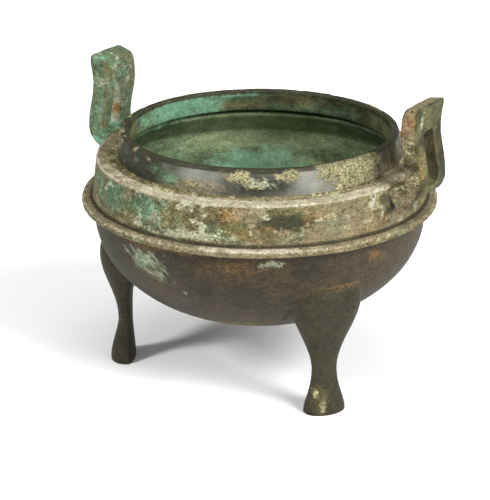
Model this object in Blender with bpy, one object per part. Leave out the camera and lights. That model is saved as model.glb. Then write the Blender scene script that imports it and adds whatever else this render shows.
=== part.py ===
"""A cast bronze ding: a round, hollow vessel on three cabriole legs, with two pierced ears.

The body is one turned profile: a deep round bowl, a flange around its widest part, a collar, a flat
ledge that seats a lid, and a short neck with a thick lip. The legs and the ears are lofts along their
own centre lines. All of it is one casting, so everything is joined to the body and the inside is
hollowed out last.

Metres, +Z up. The origin lies on the ground under the middle of the bowl. The ears stand on +X and -X,
one leg stands towards +Y and the other two a third of a turn to each side.
"""

import math

import bmesh
import bpy
from mathutils import Matrix, Vector

# Finish
BRONZE_COLOUR = (0.115, 0.105, 0.065, 1.0)
BRONZE_METALLIC = 0.35
BRONZE_ROUGHNESS = 0.62
SHARP_ANGLE = math.radians(35)

# Bowl
UNDERSIDE_HEIGHT = 0.0346
BOWL_DEPTH = 0.0661
BOWL_RADIUS = 0.1004
WALL = 0.0036

# Flange around the widest part
FLANGE_RISE = 0.0070
FLANGE_THICKNESS = 0.0044
FLANGE_REACH = 0.0063
FLANGE_ROUNDING = 0.0019

# Collar between the flange and the ledge
COLLAR_FOOT_FLARE = 0.0013
COLLAR_HEIGHT = 0.0243
COLLAR_LEAN = 0.0030
COLLAR_EDGE_ROUNDING = 0.0012

# Ledge that seats a lid, and the neck that stands on it
LEDGE_WIDTH = 0.0124
NECK_HEIGHT = 0.0159
NECK_LEAN = 0.0026
LIP_THICKNESS = 0.0051
LIP_DEPTH = 0.0133
LIP_ROUNDING = 0.0012
SEAM_FILLET = 0.0010
SHOULDER_SLOPE = math.radians(45)
SHOULDER_ROUNDING = 0.0060

# Legs
LEG_COUNT = 3
LEG_RING_TURN = math.radians(-1.5)
LEG_INSET = 0.0161
HOOF_HALF_WIDTH = 0.0131
HOOF_OUT = 0.0091
HOOF_IN = 0.0063
SOLE_EASING = 0.0008
ANKLE_HEIGHT = 0.0270
ANKLE_HALF_WIDTH = 0.0077
ANKLE_OUT = 0.0040
ANKLE_IN = 0.0049
HOOF_WIDTH_LAG = 1.3
HOOF_OUT_LAG = 0.9
HIP_HALF_WIDTH = 0.0212
HIP_PROUD = 0.0016
HIP_BELOW_BELLY = 0.0290
HIP_CROWN = 0.0110
HIP_SUNK = 0.0022
HIP_IN = 0.0160
HIP_SQUARENESS = 0.78
HIP_WIDTH_LAG = 0.95
HIP_OUT_LAG = 1.15
HIP_IN_LAG = 2.2
CROWN_WIDTH_SHARE = 0.5
CROWN_FULLNESS = 2.4
LEG_BACK_FLATNESS = 0.5

# Ears
EAR_WIDTH = 0.0340
EAR_THICKNESS = 0.0088
EAR_ROOT_THICKNESS = 0.0132
EAR_RISE = 0.0480
EAR_ELBOW_REACH = 0.0109
EAR_ELBOW_RISE = 0.0040
EAR_WAIST_RISE = 0.0320
EAR_WAIST_DIP = 0.0039
EAR_TIP_FLARE = 0.0022
EAR_TIP_SPREAD = 0.0012
EAR_TIP_SLOPE = math.radians(10)
EAR_ROOT_DROP = 0.0078
EAR_ROOT_CLIMB = math.radians(28)
EAR_BEND = 0.0080
EAR_ROOT_SHARE = 0.35
EAR_CORNER = 0.0045
EAR_EDGE_ROUNDING = 0.0016
SLOT_WIDTH = 0.0120
SLOT_SILL = 0.0004
SLOT_HEIGHT = 0.0320
SLOT_CORNER = 0.0030
SLOT_STANDOFF = 0.0009

# Fineness of the curves
AROUND = 60
BOWL_STEPS = 9
ARC_STEPS = 2
LEG_AROUND = 20
LEG_STEPS = 15
EAR_STEPS = 13
MERGE_DISTANCE = 0.00001

# Places that follow from the sizes above
BELLY_Z = UNDERSIDE_HEIGHT + BOWL_DEPTH
FLANGE_Z = BELLY_Z + FLANGE_RISE
FLANGE_TOP_Z = FLANGE_Z + FLANGE_THICKNESS
COLLAR_FOOT_RADIUS = BOWL_RADIUS + COLLAR_FOOT_FLARE
LEDGE_Z = FLANGE_TOP_Z + COLLAR_HEIGHT
LEDGE_RADIUS = COLLAR_FOOT_RADIUS - COLLAR_LEAN
NECK_RADIUS = LEDGE_RADIUS - LEDGE_WIDTH
LIP_RADIUS = NECK_RADIUS - NECK_LEAN
MOUTH_RADIUS = LIP_RADIUS - LIP_THICKNESS
RIM_Z = LEDGE_Z + NECK_HEIGHT
LEG_RADIUS = BOWL_RADIUS - LEG_INSET
EAR_TOP_Z = LEDGE_Z + EAR_RISE


def clear_scene():
    """Removes whatever a new file holds."""
    for thing in list(bpy.data.objects):
        bpy.data.objects.remove(thing, do_unlink=True)


def bronze():
    """Dark, dull old bronze."""
    material = bpy.data.materials.new("old_bronze")
    material.use_nodes = True
    shader = material.node_tree.nodes["Principled BSDF"]
    shader.inputs["Base Color"].default_value = BRONZE_COLOUR
    shader.inputs["Metallic"].default_value = BRONZE_METALLIC
    shader.inputs["Roughness"].default_value = BRONZE_ROUGHNESS
    return material


def add_object(name, bm, material):
    """Turns a bmesh into an object whose sharp corners stay crisp."""
    bmesh.ops.recalc_face_normals(bm, faces=bm.faces)
    mesh = bpy.data.meshes.new(name)
    bm.to_mesh(mesh)
    bm.free()
    mesh.shade_smooth()
    mesh.set_sharp_from_angle(angle=SHARP_ANGLE)
    mesh.materials.append(material)
    thing = bpy.data.objects.new(name, mesh)
    bpy.context.scene.collection.objects.link(thing)
    return thing


def ease(share, lag=1.0):
    """A smooth step from 0 to 1, which starts later as lag grows."""
    late = min(max(share, 0.0), 1.0) ** lag
    return late * late * (3 - 2 * late)


def mix(start, end, share):
    """The value that lies a share of the way from start to end."""
    return start + (end - start) * share


def rounded(corners):
    """An open outline through corners (x, z, radius), with an arc of that radius at each inner one."""
    points = []
    last = len(corners) - 1
    for index, (x, z, radius) in enumerate(corners):
        here = Vector((x, z))
        if radius == 0 or index in (0, last):
            points.append(here)
            continue
        back = (Vector(corners[index - 1][:2]) - here).normalized()
        ahead = (Vector(corners[index + 1][:2]) - here).normalized()
        half_angle = back.angle(ahead) / 2
        centre = here + (back + ahead).normalized() * radius / math.sin(half_angle)
        first = here + back * radius / math.tan(half_angle) - centre
        turn = math.pi - 2 * half_angle
        side = 1 if first.x * (here - centre).y - first.y * (here - centre).x > 0 else -1
        for step in range(ARC_STEPS + 1):
            angle = side * turn * step / ARC_STEPS
            swung = Matrix.Rotation(angle, 2) @ first
            points.append(centre + swung)
    return points


def bowl_curve(radius, depth):
    """A quarter of an ellipse between the pole under the belly and the belly itself."""
    points = []
    for step in range(BOWL_STEPS + 1):
        angle = math.pi / 2 * step / BOWL_STEPS
        points.append(Vector((radius * math.sin(angle), BELLY_Z - depth * math.cos(angle))))
    return points


def turned(name, profile, material):
    """Spins a profile that starts and ends on the Z axis into a closed body."""
    bm = bmesh.new()
    ring = [bm.verts.new((point.x, 0, point.y)) for point in profile]
    edges = [bm.edges.new(pair) for pair in zip(ring, ring[1:])]
    bmesh.ops.spin(bm, geom=ring + edges, cent=(0, 0, 0), axis=(0, 0, 1), angle=math.tau, steps=AROUND,
                   use_merge=True)
    bmesh.ops.remove_doubles(bm, verts=bm.verts, dist=MERGE_DISTANCE)
    return add_object(name, bm, material)


def outer_form(material):
    """The outside of the bowl, flange, collar, ledge and neck, as a full body."""
    flange_radius = COLLAR_FOOT_RADIUS + FLANGE_REACH
    profile = bowl_curve(BOWL_RADIUS, BOWL_DEPTH)
    profile += rounded([
        (BOWL_RADIUS, BELLY_Z, 0),
        ((BOWL_RADIUS + COLLAR_FOOT_RADIUS) / 2, FLANGE_Z, SEAM_FILLET),
        (flange_radius, FLANGE_Z, FLANGE_ROUNDING),
        (flange_radius, FLANGE_TOP_Z, FLANGE_ROUNDING),
        (COLLAR_FOOT_RADIUS, FLANGE_TOP_Z, SEAM_FILLET),
        (LEDGE_RADIUS, LEDGE_Z, COLLAR_EDGE_ROUNDING),
        (NECK_RADIUS, LEDGE_Z, SEAM_FILLET),
        (LIP_RADIUS, RIM_Z, LIP_ROUNDING),
        (0, RIM_Z, 0),
    ])[1:]
    return turned("ding_vessel", profile, material)


def hollow(material):
    """The space inside: bowl, sloping shoulder, the step under the lip, and the mouth. The shoulder keeps
    one wall's thickness away from the foot of the neck."""
    clear_above = RIM_Z + NECK_HEIGHT
    throat_radius = NECK_RADIUS - WALL
    foot_radius = COLLAR_FOOT_RADIUS - WALL
    lip_low_z = RIM_Z - LIP_DEPTH
    fall = math.tan(SHOULDER_SLOPE)
    lean = COLLAR_LEAN / COLLAR_HEIGHT
    throat_z = LEDGE_Z - WALL * math.cos(SHOULDER_SLOPE) + WALL * (1 - math.sin(SHOULDER_SLOPE)) * fall
    straight_fall = throat_z - (foot_radius - throat_radius) * fall
    shoulder_z = (straight_fall - lean * fall * FLANGE_TOP_Z) / (1 - lean * fall)
    profile = bowl_curve(BOWL_RADIUS - WALL, BOWL_DEPTH - WALL)
    profile += rounded([
        (BOWL_RADIUS - WALL, BELLY_Z, 0),
        (foot_radius, FLANGE_TOP_Z, 0),
        (foot_radius - lean * (shoulder_z - FLANGE_TOP_Z), shoulder_z, SHOULDER_ROUNDING),
        (throat_radius, throat_z, 0),
        (throat_radius, lip_low_z, 0),
        (MOUTH_RADIUS, lip_low_z, LIP_ROUNDING / 2),
        (MOUTH_RADIUS, RIM_Z - LIP_ROUNDING / 2, 0),
        (MOUTH_RADIUS + LIP_ROUNDING / 2, RIM_Z, 0),
        (MOUTH_RADIUS + LIP_ROUNDING / 2, clear_above, 0),
        (0, clear_above, 0),
    ])[1:]
    return turned("hollow", profile, material)


def loft(name, rings, material):
    """Joins rings of equally many points into a closed body, with a flat cap at each end."""
    bm = bmesh.new()
    rows = [[bm.verts.new(point) for point in ring] for ring in rings]
    count = len(rows[0])
    for low, high in zip(rows, rows[1:]):
        for index in range(count):
            after = (index + 1) % count
            bm.faces.new((low[index], low[after], high[after], high[index]))
    bm.faces.new(rows[0][::-1])
    bm.faces.new(rows[-1])
    return add_object(name, bm, material)


def bowl_reach(z):
    """How far the outside of the bowl lies beyond the circle of legs at a height."""
    drop = min(max((BELLY_Z - z) / BOWL_DEPTH, 0.0), 1.0)
    return BOWL_RADIUS * math.sqrt(1 - drop * drop) - LEG_RADIUS


def leg_section(z):
    """Half width, outer reach, inner reach and squareness of a leg at a height."""
    if z < ANKLE_HEIGHT:
        share = 1 - z / ANKLE_HEIGHT
        width = mix(ANKLE_HALF_WIDTH, HOOF_HALF_WIDTH, ease(share, HOOF_WIDTH_LAG))
        out = mix(ANKLE_OUT, HOOF_OUT, ease(share, HOOF_OUT_LAG))
        inward = mix(ANKLE_IN, HOOF_IN, ease(share))
        return width, out, inward, 1.0
    hip_z = BELLY_Z - HIP_BELOW_BELLY
    share = (z - ANKLE_HEIGHT) / (hip_z - ANKLE_HEIGHT)
    crown = min(max((z - hip_z) / HIP_CROWN, 0.0), 1.0)
    closing = math.sqrt(1 - crown ** CROWN_FULLNESS)
    crown_reach = bowl_reach(hip_z + HIP_CROWN)
    width = mix(ANKLE_HALF_WIDTH, HIP_HALF_WIDTH, ease(share, HIP_WIDTH_LAG))
    width *= mix(CROWN_WIDTH_SHARE, 1.0, closing)
    out = mix(ANKLE_OUT, crown_reach + HIP_PROUD, ease(share, HIP_OUT_LAG))
    out = mix(crown_reach - HIP_SUNK, out, closing)
    inward = mix(ANKLE_IN, HIP_IN, ease(share, HIP_IN_LAG))
    return width, out, inward, mix(1.0, HIP_SQUARENESS, ease(share))


def leg_ring(z, easing, azimuth):
    """One D-shaped section of a leg: round outside, flat towards the middle of the vessel."""
    width, out, inward, squareness = leg_section(z)
    outward = Vector((math.cos(azimuth), math.sin(azimuth), 0))
    across = Vector((-math.sin(azimuth), math.cos(azimuth), 0))
    ring = []
    for index in range(LEG_AROUND):
        angle = math.tau * (index + 0.5) / LEG_AROUND
        bulge = math.cos(angle)
        swell = math.sin(angle)
        if bulge > 0:
            reach = (out - easing) * bulge ** squareness
        else:
            reach = -(inward - easing) * abs(bulge) ** LEG_BACK_FLATNESS
        side = (width - easing) * math.copysign(abs(swell) ** squareness, swell)
        ring.append(outward * (LEG_RADIUS + reach) + across * side + Vector((0, 0, z)))
    return ring


def leg(index, material):
    """A cabriole leg: hoof, slim ankle, and a broad hip that closes in a crescent on the bowl."""
    azimuth = math.tau / 4 + LEG_RING_TURN + math.tau * index / LEG_COUNT
    top_z = BELLY_Z - HIP_BELOW_BELLY + HIP_CROWN
    rings = [leg_ring(0, SOLE_EASING, azimuth)]
    for step in range(LEG_STEPS + 1):
        z = mix(SOLE_EASING, top_z, math.sin(math.pi / 2 * step / LEG_STEPS))
        rings.append(leg_ring(z, 0, azimuth))
    return loft(f"leg_form_{index + 1}", rings, material)


def ear_station(share):
    """Centre, direction to the inner face, thickness and spread of an ear, from its root to its tip."""
    elbow = Vector((BOWL_RADIUS + EAR_ELBOW_REACH, LEDGE_Z + EAR_ELBOW_RISE))
    root = Vector((LEDGE_RADIUS - WALL / 2, LEDGE_Z - EAR_ROOT_DROP))
    waist_z = LEDGE_Z + EAR_WAIST_RISE
    if share < EAR_ROOT_SHARE:
        turn = share / EAR_ROOT_SHARE
        near_root = root + Vector((math.cos(EAR_ROOT_CLIMB), math.sin(EAR_ROOT_CLIMB))) * EAR_BEND
        near_elbow = elbow - Vector((0, EAR_BEND))
        low = root.lerp(near_root, turn)
        middle = near_root.lerp(near_elbow, turn)
        high = near_elbow.lerp(elbow, turn)
        low = low.lerp(middle, turn)
        high = middle.lerp(high, turn)
        centre = low.lerp(high, turn)
        heading = high - low
        pitch = math.atan2(heading.x, heading.y)
        thickness = mix(EAR_ROOT_THICKNESS, EAR_THICKNESS, turn)
        spread = 0
    else:
        z = mix(elbow.y, EAR_TOP_Z, (share - EAR_ROOT_SHARE) / (1 - EAR_ROOT_SHARE))
        inward = EAR_WAIST_DIP * ease((z - elbow.y) / (waist_z - elbow.y))
        above_waist = max((z - waist_z) / (EAR_TOP_Z - waist_z), 0.0)
        centre = Vector((elbow.x - inward + EAR_TIP_FLARE * above_waist ** 2, z))
        pitch = -EAR_TIP_SLOPE * above_waist
        thickness = EAR_THICKNESS
        spread = EAR_TIP_SPREAD * above_waist ** 2
    return centre, Vector((-math.cos(pitch), math.sin(pitch))), thickness, spread


def ear_ring(share, narrowing, thinning, sign):
    """A rectangle with rounded corners across an ear, narrower near the tip's corners."""
    centre, inner, thickness, spread = ear_station(share)
    half_width = EAR_WIDTH / 2 + spread - narrowing
    half_thickness = thickness / 2 - thinning
    radius = EAR_EDGE_ROUNDING
    ring = []
    for corner in range(4):
        mid = math.tau * (corner + 0.5) / 4
        hub_side = math.copysign(half_width - radius, math.cos(mid))
        hub_deep = math.copysign(half_thickness - radius, math.sin(mid))
        for step in range(ARC_STEPS + 1):
            angle = math.tau * corner / 4 + math.pi / 2 * step / ARC_STEPS
            side = hub_side + radius * math.cos(angle)
            deep = hub_deep + radius * math.sin(angle)
            flat = centre + inner * deep
            ring.append(Vector((sign * flat.x, sign * side, flat.y)))
    return ring


def ear(side, sign, material):
    """An upright ear with an S-shaped profile and rounded upper corners."""
    height = EAR_TOP_Z - LEDGE_Z
    rings = []
    for step in range(EAR_STEPS + 1):
        rings.append(ear_ring(mix(0, 1 - EAR_CORNER / height, step / EAR_STEPS), 0, 0, sign))
    for step in range(1, ARC_STEPS + 1):
        angle = math.pi / 2 * step / ARC_STEPS
        share = 1 - EAR_CORNER / height * (1 - math.sin(angle))
        thinning = EAR_EDGE_ROUNDING / 2 if step == ARC_STEPS else 0
        rings.append(ear_ring(share, EAR_CORNER * (1 - math.cos(angle)), thinning, sign))
    return loft(f"ear_form_{side}", rings, material)


def ear_slot(side, sign, material):
    """The upright slot through an ear, with rounded corners."""
    low = LEDGE_Z + SLOT_SILL
    near = BOWL_RADIUS + SLOT_STANDOFF
    far = BOWL_RADIUS + EAR_ELBOW_REACH + EAR_THICKNESS
    half = SLOT_WIDTH / 2
    corners = [(0, low, 0), (half, low, SLOT_CORNER), (half, low + SLOT_HEIGHT, SLOT_CORNER)]
    corners += [(-half, low + SLOT_HEIGHT, SLOT_CORNER), (-half, low, SLOT_CORNER), (0, low, 0)]
    outline = rounded(corners)[:-1]
    rings = [[Vector((sign * x, sign * point.x, point.y)) for point in outline] for x in (near, far)]
    return loft(f"ear_slot_{side}", rings, material)


def combine(body, other, operation):
    """Adds a Boolean with another form, which then stays in the scene as a wire guide."""
    modifier = body.modifiers.new(f"{operation.lower()}_{other.name}", "BOOLEAN")
    modifier.operation = operation
    modifier.object = other
    modifier.solver = "EXACT"
    other.hide_render = True
    other.display_type = "WIRE"


def build():
    """Joins the legs and ears to the body, pierces the ears and hollows the vessel."""
    clear_scene()
    material = bronze()
    vessel = outer_form(material)
    for index in range(LEG_COUNT):
        combine(vessel, leg(index, material), "UNION")
    for side, sign in (("right", 1), ("left", -1)):
        combine(vessel, ear(side, sign, material), "UNION")
        combine(vessel, ear_slot(side, sign, material), "DIFFERENCE")
    combine(vessel, hollow(material), "DIFFERENCE")


build()
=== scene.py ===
# %% [markdown]
# A bronze ding, dressed in Blender
#
# A ding is a cooking vessel of ancient China, cast in bronze: a deep bowl on three legs, with two
# pierced ears. This one lay in the ground for some two thousand years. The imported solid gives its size
# and its plain form. This lesson makes the surface over it: one fine skin of the whole casting, with its
# worn edges, its pits and its crusts, and then the colours of the patina.

# %% Load the frame
import math

import bpy
import numpy as np
from mathutils import Matrix, Vector


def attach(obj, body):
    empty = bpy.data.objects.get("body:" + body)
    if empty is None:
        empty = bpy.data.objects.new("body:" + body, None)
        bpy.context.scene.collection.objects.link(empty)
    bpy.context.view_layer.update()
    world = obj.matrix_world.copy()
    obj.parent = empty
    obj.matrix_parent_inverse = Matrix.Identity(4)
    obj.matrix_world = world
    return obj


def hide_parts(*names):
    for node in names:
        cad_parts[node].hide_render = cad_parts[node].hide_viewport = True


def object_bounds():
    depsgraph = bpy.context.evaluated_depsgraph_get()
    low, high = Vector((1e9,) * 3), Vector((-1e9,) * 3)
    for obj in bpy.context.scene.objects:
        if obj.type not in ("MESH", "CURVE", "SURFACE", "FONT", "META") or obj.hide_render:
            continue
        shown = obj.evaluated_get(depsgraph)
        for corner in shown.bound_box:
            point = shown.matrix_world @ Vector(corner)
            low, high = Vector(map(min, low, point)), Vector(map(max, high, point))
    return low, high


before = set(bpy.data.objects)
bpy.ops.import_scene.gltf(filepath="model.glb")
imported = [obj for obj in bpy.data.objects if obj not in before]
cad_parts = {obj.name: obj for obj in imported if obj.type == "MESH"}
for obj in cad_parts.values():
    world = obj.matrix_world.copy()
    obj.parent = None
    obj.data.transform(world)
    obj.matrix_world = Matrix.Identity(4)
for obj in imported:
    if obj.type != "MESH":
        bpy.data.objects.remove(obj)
solid_low, solid_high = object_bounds()
print("the solid spans", [round(float(size), 4) for size in solid_high - solid_low], "m")

# %% [markdown]
# Sizes
#
# The skin follows the same driving sizes as the solid, in metres, so that it lies where the solid lies.
# The widest ring is read from the frame, and the rest is stated once here. The bowl is the lower half of
# an ellipse, and everything above it is a profile of straight runs with small rounded corners.

# %% Sizes of the casting
FLANGE_RADIUS = float(solid_high.y)
EAR_TOP_Z = 0.1844
UNDERSIDE_Z = 0.0346
BELLY_Z = 0.1007
BOWL_RADIUS = 0.1004
WALL = 0.0036
FLANGE_Z = 0.1077
FLANGE_TOP_Z = 0.1121
COLLAR_FOOT_RADIUS = 0.1017
LEDGE_RADIUS = 0.0987
LEDGE_Z = 0.1364
NECK_RADIUS = 0.0863
LIP_RADIUS = 0.0837
MOUTH_RADIUS = 0.0786
RIM_Z = 0.1523
LIP_DEPTH = 0.0133
SHOULDER_Z = 0.12055
THROAT_Z = 0.13491
LEG_RADIUS = 0.0843
LEG_TURN = math.radians(-1.5)
print("flange", round(FLANGE_RADIUS, 4), "height", round(float(solid_high.z), 4))

# %% [markdown]
# Small tools for shapes
#
# Every surface here is a grid of points: rows along one parameter, columns around the other. numpy works
# out the whole grid at once, and `skin` turns it into a closed mesh whose ends are closed by a point.

# %% Easing and mixing


def ease(share, lag=1.0):
    """Smooth step: t = share^lag held between 0 and 1, then 3t^2 - 2t^3."""
    late = np.clip(share, 0.0, 1.0) ** lag
    return late * late * (3 - 2 * late)


def mix(start, end, share):
    """start + (end - start) * share."""
    return start + (end - start) * share


def bump_of(distance, width):
    """A soft hump: 1 at distance 0, falling as a bell curve of the given width."""
    return np.exp(-((distance / width) ** 2))


print("a quarter of the way, ease gives", round(float(ease(0.25)), 3), "and mix gives", mix(0, 1, 0.25))

# %% Rounded outlines


def rounded(corners, arc_steps, longest):
    """An outline through corners (x, z, radius): each corner with a radius becomes an arc that touches
    both of its sides, and each straight run is divided into pieces no longer than `longest`."""
    points = [np.array(corners[0][:2])]
    for before, corner, after in zip(corners, corners[1:], corners[2:]):
        here = np.array(corner[:2])
        radius = corner[2]
        if radius == 0:
            points.append(here)
            continue
        back = np.array(before[:2]) - here
        ahead = np.array(after[:2]) - here
        back = back / np.linalg.norm(back)
        ahead = ahead / np.linalg.norm(ahead)
        half_angle = math.acos(float(np.clip(back @ ahead, -1, 1))) / 2
        middle = (back + ahead) / np.linalg.norm(back + ahead)
        centre = here + middle * radius / math.sin(half_angle)
        first = here + back * radius / math.tan(half_angle) - centre
        last = here + ahead * radius / math.tan(half_angle) - centre
        sweep = math.pi - 2 * half_angle
        share = np.linspace(0, 1, arc_steps + 1)[:, None]
        arc = (np.sin((1 - share) * sweep) * first + np.sin(share * sweep) * last) / math.sin(sweep)
        points.extend(centre + arc)
    points.append(np.array(corners[-1][:2]))
    dense = [points[0]]
    for start, end in zip(points, points[1:]):
        pieces = max(1, math.ceil(float(np.linalg.norm(end - start)) / longest))
        dense.extend(start + (end - start) * k / pieces for k in range(1, pieces + 1))
    return np.array(dense)


print("one rounded corner takes", len(rounded([(0, 0, 0), (1, 0, 0.3), (1, 1, 0)], 5, 2)), "points")

# %% Closed skins


def skin(name, rings, close_low=True, close_high=True):
    """A closed mesh from a grid of rings, shape (rows, columns, 3). Each open end is closed by rings that
    shrink to its centre and a last point there. Normals are made to point outwards at the end."""
    rings = np.asarray(rings, float)
    if close_low:
        rings = np.concatenate([shrinking(rings[0])[::-1], rings])
    if close_high:
        rings = np.concatenate([rings, shrinking(rings[-1])])
    rows, columns = rings.shape[:2]
    low_tip = rings[0].mean(0)
    high_tip = rings[-1].mean(0)
    points = np.concatenate([rings.reshape(-1, 3), [low_tip, high_tip]])
    index = np.arange(rows * columns).reshape(rows, columns)
    after = np.roll(index, -1, axis=1)
    quads = np.stack([index[:-1], after[:-1], after[1:], index[1:]], -1).reshape(-1, 4)
    low_fan = np.stack([after[0], index[0], np.full(columns, rows * columns)], -1)
    high_fan = np.stack([index[-1], after[-1], np.full(columns, rows * columns + 1)], -1)
    mesh = bpy.data.meshes.new(name)
    mesh.from_pydata(points.tolist(), [], quads.tolist() + low_fan.tolist() + high_fan.tolist())
    tris = points[np.concatenate([quads[:, :3], quads[:, [0, 2, 3]], low_fan, high_fan])]
    volume = np.einsum("ni,ni->n", tris[:, 0], np.cross(tris[:, 1], tris[:, 2])).sum() / 6
    if volume < 0:
        mesh.flip_normals()
    thing = bpy.data.objects.new(name, mesh)
    bpy.context.scene.collection.objects.link(thing)
    print(name, "has", len(mesh.polygons), "faces and holds", round(abs(volume) * 1e6, 1), "cm3")
    return thing


def shrinking(ring, steps=4):
    """Copies of a ring drawn in towards its centre in equal steps, without the centre itself."""
    centre = ring.mean(0)
    share = (np.arange(1, steps) / steps)[:, None, None]
    return ring[None] * (1 - share) + centre * share


# %% [markdown]
# The body
#
# A founder would have turned the clay model of the bowl against a template. Spinning a profile is the
# same thing. The outside and the hollow are two spun bodies, and the hollow is cut out last, so that it
# also trims the ends of legs and ears that reach through the wall.

# %% Spin a profile
AROUND = 336
HOLLOW_AROUND = 252
BOWL_STEPS = 62
HOLLOW_STEPS = 40
OVER_RIM = 0.0040


def spun(name, profile, columns):
    """Revolves a profile (r, z): the point at angle a is (r cos a, r sin a, z). A profile that starts and
    ends on the axis leaves its two end rings out, and a single point closes each end."""
    angle = np.arange(columns) * math.tau / columns
    inner = profile[1:-1]
    rings = np.empty((len(inner), columns, 3))
    rings[..., 0] = inner[:, :1] * np.cos(angle)
    rings[..., 1] = inner[:, :1] * np.sin(angle)
    rings[..., 2] = inner[:, 1:]
    return skin(name, rings, close_low=False, close_high=False)


def bowl_curve(radius, depth, steps):
    """A quarter ellipse from the pole under the belly to the belly: (a sin t, belly - b cos t)."""
    turn = np.linspace(0, math.pi / 2, steps + 1)
    return np.stack([radius * np.sin(turn), BELLY_Z - depth * np.cos(turn)], -1)


print("the bowl is", round(BELLY_Z - UNDERSIDE_Z, 4), "m deep below its belly")

# %% The outside and the hollow
outer_profile = np.concatenate([
    bowl_curve(BOWL_RADIUS, BELLY_Z - UNDERSIDE_Z, BOWL_STEPS)[:-1],
    rounded([
        # radius, height and rounding of each corner
        (BOWL_RADIUS, BELLY_Z, 0),
        ((BOWL_RADIUS + COLLAR_FOOT_RADIUS) / 2, FLANGE_Z, 0.0010),
        (FLANGE_RADIUS, FLANGE_Z, 0.0016),
        (FLANGE_RADIUS, FLANGE_TOP_Z, 0.0020),
        (COLLAR_FOOT_RADIUS, FLANGE_TOP_Z, 0.0008),
        (LEDGE_RADIUS, LEDGE_Z, 0.0011),
        (NECK_RADIUS, LEDGE_Z, 0.0012),
        (LIP_RADIUS, RIM_Z, 0.0012),
        (MOUTH_RADIUS - WALL, RIM_Z, 0),
    ], 5, 0.0014),
    [(0.0, RIM_Z)],
])
hollow_profile = np.concatenate([
    bowl_curve(BOWL_RADIUS - WALL, BELLY_Z - UNDERSIDE_Z - WALL, HOLLOW_STEPS)[:-1],
    rounded([
        (BOWL_RADIUS - WALL, BELLY_Z, 0),
        (COLLAR_FOOT_RADIUS - WALL, FLANGE_TOP_Z, 0),
        (NECK_RADIUS - WALL + THROAT_Z - SHOULDER_Z, SHOULDER_Z, 0.0060),
        (NECK_RADIUS - WALL, THROAT_Z, 0.0030),
        (NECK_RADIUS - WALL, RIM_Z - LIP_DEPTH, 0.0010),
        (MOUTH_RADIUS, RIM_Z - LIP_DEPTH, 0.0012),
        (MOUTH_RADIUS, RIM_Z - 0.0010, 0.0005),
        (MOUTH_RADIUS + 0.0008, RIM_Z, 0.0005),
        (MOUTH_RADIUS + 0.0012, RIM_Z + OVER_RIM, 0),
    ], 3, 0.0021),
    [(0.0, RIM_Z + OVER_RIM)],
])
casting = spun("ding_casting", outer_profile, AROUND)
hollow = spun("hollow", hollow_profile, HOLLOW_AROUND)
print("the profiles have", len(outer_profile), "and", len(hollow_profile), "points")

# %% [markdown]
# The legs
#
# Each leg is a hoof, a slim ankle and a broad hip. Its section is a D: round outside and flat towards the
# middle. Half width, outward reach and inward reach change with the height by smooth steps, and near its
# top the hip closes in a crescent against the bowl.

# %% Leg sections
ANKLE_Z = 0.0270
HIP_Z = 0.0717
CROWN_RISE = 0.0110
HOOF_HALF_WIDTH, ANKLE_HALF_WIDTH, HIP_HALF_WIDTH = 0.0131, 0.0077, 0.0212
HOOF_OUT, ANKLE_OUT = 0.0091, 0.0040
HOOF_IN, ANKLE_IN, HIP_IN = 0.0063, 0.0049, 0.0160
SOLE_ROUNDING = 0.0008
LEG_ROWS = 74
LEG_COLUMNS = 64


def bowl_reach(z):
    """How far the bowl's outside lies beyond the ring of legs at a height, from the ellipse."""
    drop = np.clip((BELLY_Z - z) / (BELLY_Z - UNDERSIDE_Z), 0, 1)
    return BOWL_RADIUS * np.sqrt(1 - drop ** 2) - LEG_RADIUS


def leg_sections(z):
    """Half width, outward reach, inward reach and squareness at each height. Below the ankle they ease
    into the hoof, above it into the hip, whose crown closes as a root of 1 - share^2.4."""
    foot = 1 - z / ANKLE_Z
    hip = (z - ANKLE_Z) / (HIP_Z - ANKLE_Z)
    closing = np.sqrt(1 - np.clip((z - HIP_Z) / CROWN_RISE, 0, 1) ** 2.4)
    crown = bowl_reach(HIP_Z + CROWN_RISE)
    width = mix(ANKLE_HALF_WIDTH, HIP_HALF_WIDTH, ease(hip, 0.95)) * mix(0.5, 1.0, closing)
    out = mix(crown - 0.0022, mix(ANKLE_OUT, crown + 0.0016, ease(hip, 1.15)), closing)
    inward = mix(ANKLE_IN, HIP_IN, ease(hip, 2.2))
    low = z < ANKLE_Z
    width = np.where(low, mix(ANKLE_HALF_WIDTH, HOOF_HALF_WIDTH, ease(foot, 1.3)), width)
    out = np.where(low, mix(ANKLE_OUT, HOOF_OUT, ease(foot, 0.9)), out)
    inward = np.where(low, mix(ANKLE_IN, HOOF_IN, ease(foot)), inward)
    return width, out, inward, np.where(low, 1.0, mix(1.0, 0.78, ease(hip)))


print("a leg is", 2 * ANKLE_HALF_WIDTH, "m wide at its ankle and", 2 * HIP_HALF_WIDTH, "m at its hip")

# %% One leg


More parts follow.
